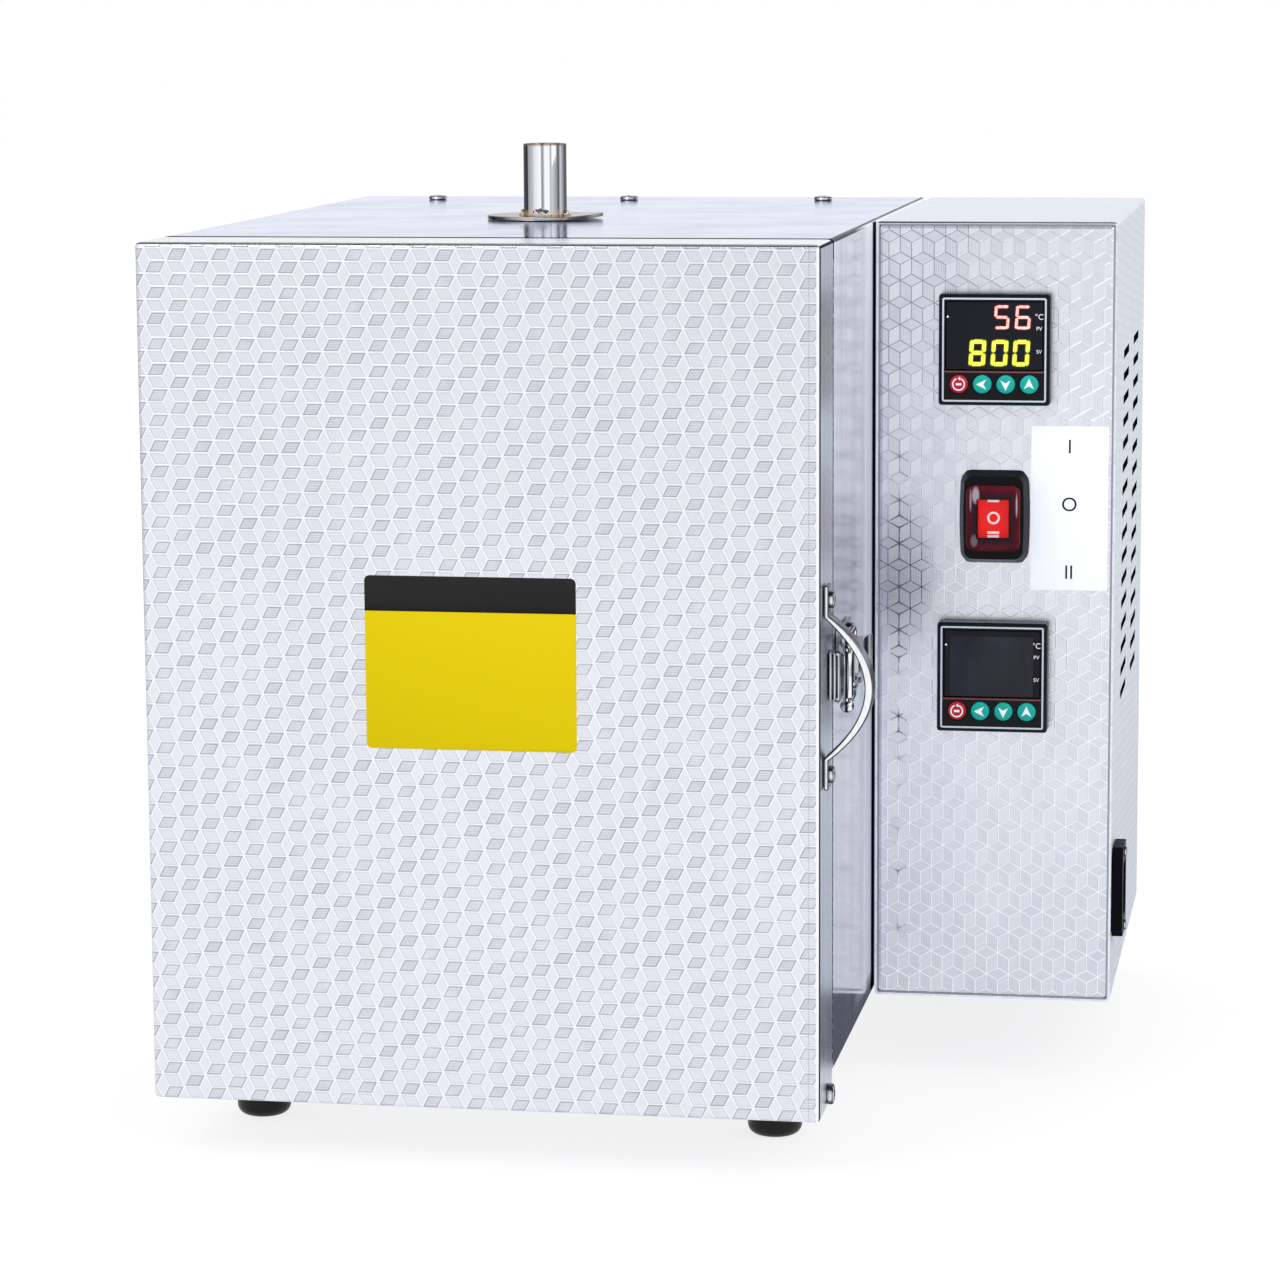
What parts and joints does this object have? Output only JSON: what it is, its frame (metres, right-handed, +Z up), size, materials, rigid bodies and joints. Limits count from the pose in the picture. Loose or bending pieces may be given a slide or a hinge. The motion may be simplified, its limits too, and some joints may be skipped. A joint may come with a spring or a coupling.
{
  "type": "jewelry casting furnace",
  "caption": "Box-shaped electric burnout furnace with a side-hinged door, fibre chamber, short chimney, toggle latch and a control box on its right side.",
  "frame": {"origin": "on the floor under the middle of the whole machine's box", "axes": "+Z up, the door faces -Y, the control box is at +X"},
  "size_m": [0.3962, 0.4, 0.411],
  "materials": {
    "door_steel": "stainless sheet embossed with a small geometric relief, satin with bright lines",
    "panel_steel": "stainless sheet embossed with a small geometric relief, satin",
    "box_steel": "stainless sheet embossed with a small geometric relief, satin",
    "casing_steel": "smooth bright stainless sheet with soft reflections",
    "smooth_steel": "plain mill-finish stainless sheet",
    "chimney_steel": "polished stainless tube",
    "flange_steel": "stainless disc with a straw tint near its weld",
    "handle_steel": "polished steel strap",
    "latch_steel": "nickel-plated pressed steel",
    "hinge_steel": "plain pressed stainless steel",
    "element_alloy": "oxidised resistance wire",
    "fibre_board": "soft white ceramic-fibre board, matt",
    "gasket_rope": "woven ceramic-fibre rope, matt",
    "porcelain": "off-white glazed ceramic",
    "foot_rubber": "black rubber, slightly glossy",
    "controller_plastic": "black moulded plastic with a smooth front",
    "display_acrylic": "dark glossy display window",
    "red_button": "dark red button",
    "teal_button": "teal green button",
    "switch_plastic": "black moulded plastic",
    "cover_silicone": "dark translucent red silicone",
    "rocker_plastic": "bright red rocker",
    "inlet_plastic": "black moulded plastic",
    "contact_brass": "plated brass blades",
    "relay_plastic": "pale grey plastic"
  },
  "bodies": {
    "furnace": {"casing_back_panel": "smooth_steel", "casing_base": "smooth_steel", "casing_wrap": "casing_steel", "chimney_flange": "flange_steel", "chimney_pipe": "chimney_steel", "control_box_back": "smooth_steel", "control_box_shell": "box_steel", "control_panel": "panel_steel", "controller_case_lower": "controller_plastic", "controller_case_upper": "controller_plastic", "display_window_lower": "display_acrylic", "display_window_upper": "display_acrylic", "element_terminals_left": "porcelain", "element_terminals_right": "porcelain", "fibre_back_wall": "fibre_board", "fibre_floor": "fibre_board", "fibre_left_wall": "fibre_board", "fibre_right_wall": "fibre_board", "fibre_roof": "fibre_board", "foot_front_left": "foot_rubber", "foot_front_right": "foot_rubber", "foot_rear_left": "foot_rubber", "foot_rear_right": "foot_rubber", "front_frame": "smooth_steel", "heating_element_left": "element_alloy", "heating_element_right": "element_alloy", "hinge_casing_leaf_lower": "hinge_steel", "hinge_casing_leaf_upper": "hinge_steel", "hinge_pin_lower": "hinge_steel", "hinge_pin_upper": "hinge_steel", "inlet_contacts": "contact_brass", "latch_base": "latch_steel", "latch_pin": "latch_steel", "power_inlet": "inlet_plastic", "solid_state_relay": "relay_plastic", "switch_cover": "cover_silicone", "switch_housing": "switch_plastic", "thermocouple": "porcelain", "thermocouple_head": "porcelain"},
    "door": {"door_skin": "door_steel", "door_liner": "smooth_steel", "door_insulation": "fibre_board", "door_gasket": "gasket_rope", "door_handle": "handle_steel", "latch_keeper": "latch_steel", "hinge_door_leaf_upper": "hinge_steel", "hinge_door_leaf_lower": "hinge_steel"},
    "latch_lever": {"latch_lever": "latch_steel"},
    "latch_bail": {"latch_bail": "latch_steel"},
    "switch_rocker": {"switch_rocker": "rocker_plastic"},
    "button_set_upper": {"button_set_upper": "red_button"},
    "button_left_upper": {"button_left_upper": "teal_button"},
    "button_down_upper": {"button_down_upper": "teal_button"},
    "button_up_upper": {"button_up_upper": "teal_button"},
    "button_set_lower": {"button_set_lower": "red_button"},
    "button_left_lower": {"button_left_lower": "teal_button"},
    "button_down_lower": {"button_down_lower": "teal_button"},
    "button_up_lower": {"button_up_lower": "teal_button"}
  },
  "joints": [
    {"name": "door_hinge", "type": "hinge", "parent": "furnace", "child": "door", "pos_m": [-0.19465, -0.1585, 0.201], "axis": [0, 0, -1], "range_deg": [0, 120]},
    {"name": "latch_lever_hinge", "type": "hinge", "parent": "furnace", "child": "latch_lever", "pos_m": [0.09275, -0.143, 0.203], "axis": [0, 0, -1], "range_deg": [0, 70]},
    {"name": "latch_bail_hinge", "type": "hinge", "parent": "latch_lever", "child": "latch_bail", "pos_m": [0.09275, -0.133, 0.203], "axis": [0, 0, 1], "range_deg": [0, 70]},
    {"name": "switch_rocker_hinge", "type": "hinge", "parent": "furnace", "child": "switch_rocker", "pos_m": [0.14115, -0.0255, 0.2505], "axis": [1, 0, 0], "range_deg": [-12, 12]},
    {"name": "button_set_upper_slide", "type": "slide", "parent": "furnace", "child": "button_set_upper", "axis": [0, 1, 0], "range_m": [0, 0.0005], "stiffness_N_per_m": 500},
    {"name": "button_left_upper_slide", "type": "slide", "parent": "furnace", "child": "button_left_upper", "axis": [0, 1, 0], "range_m": [0, 0.0005], "stiffness_N_per_m": 500},
    {"name": "button_down_upper_slide", "type": "slide", "parent": "furnace", "child": "button_down_upper", "axis": [0, 1, 0], "range_m": [0, 0.0005], "stiffness_N_per_m": 500},
    {"name": "button_up_upper_slide", "type": "slide", "parent": "furnace", "child": "button_up_upper", "axis": [0, 1, 0], "range_m": [0, 0.0005], "stiffness_N_per_m": 500},
    {"name": "button_set_lower_slide", "type": "slide", "parent": "furnace", "child": "button_set_lower", "axis": [0, 1, 0], "range_m": [0, 0.0005], "stiffness_N_per_m": 500},
    {"name": "button_left_lower_slide", "type": "slide", "parent": "furnace", "child": "button_left_lower", "axis": [0, 1, 0], "range_m": [0, 0.0005], "stiffness_N_per_m": 500},
    {"name": "button_down_lower_slide", "type": "slide", "parent": "furnace", "child": "button_down_lower", "axis": [0, 1, 0], "range_m": [0, 0.0005], "stiffness_N_per_m": 500},
    {"name": "button_up_lower_slide", "type": "slide", "parent": "furnace", "child": "button_up_lower", "axis": [0, 1, 0], "range_m": [0, 0.0005], "stiffness_N_per_m": 500}
  ],
  "couplings": [
    {"joint": "latch_bail_hinge", "follows": "latch_lever_hinge", "ratio": 1}
  ]
}
